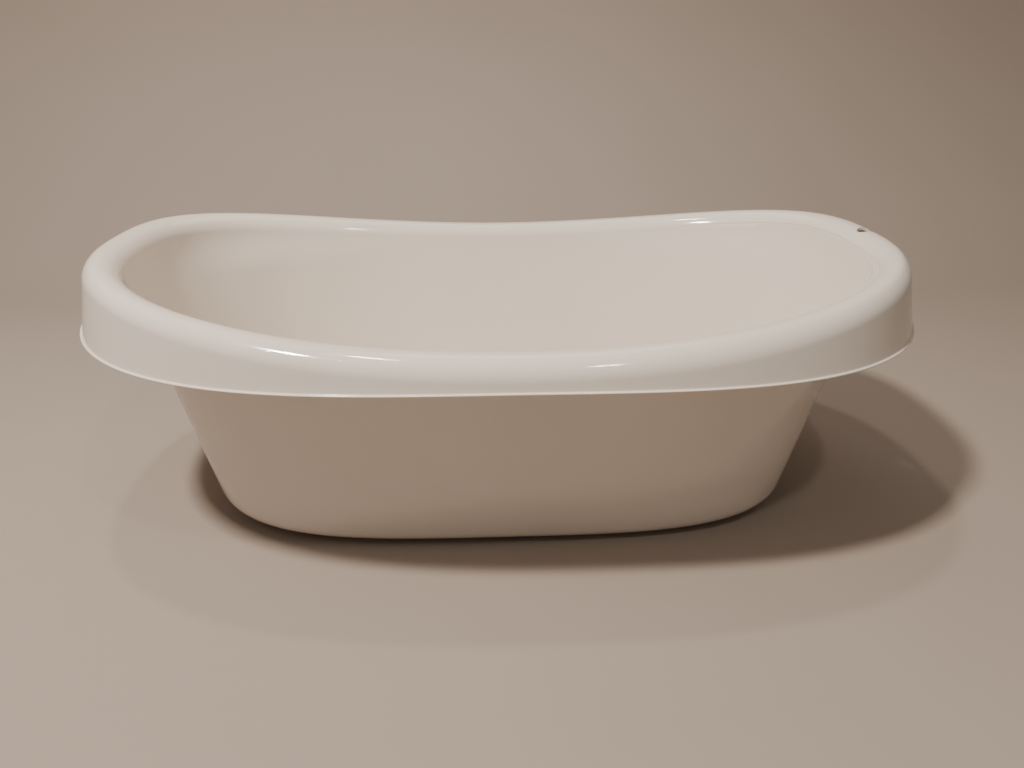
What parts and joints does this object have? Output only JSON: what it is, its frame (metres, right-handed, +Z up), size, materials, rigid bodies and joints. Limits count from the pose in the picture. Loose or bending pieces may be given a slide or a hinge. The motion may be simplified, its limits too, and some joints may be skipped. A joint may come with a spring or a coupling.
{
  "type": "baby bath",
  "caption": "One-piece moulded oval baby bath with a rolled rim that rises at both ends, a foot ring, a hanging hole and a lift-out drain stopper.",
  "frame": {"origin": "on the ground under the middle of the bath", "axes": "+X along the bath towards the foot end with the drain and the hanging hole, +Y across it, +Z up"},
  "size_m": [0.7654, 0.485, 0.2575],
  "materials": {
    "tub_plastic": "glossy moulded polypropylene, warm white",
    "plug_plastic": "satin moulded polypropylene, warm white",
    "seal_rubber": "matt soft sealing ring"
  },
  "bodies": {
    "tub": {"tub_shell": "tub_plastic"},
    "plug": {"drain_plug": "plug_plastic", "plug_seal": "seal_rubber"}
  },
  "joints": [
    {"name": "plug_lift", "type": "slide", "parent": "tub", "child": "plug", "axis": [0, 0, 1], "range_m": [0, 0.27]}
  ]
}
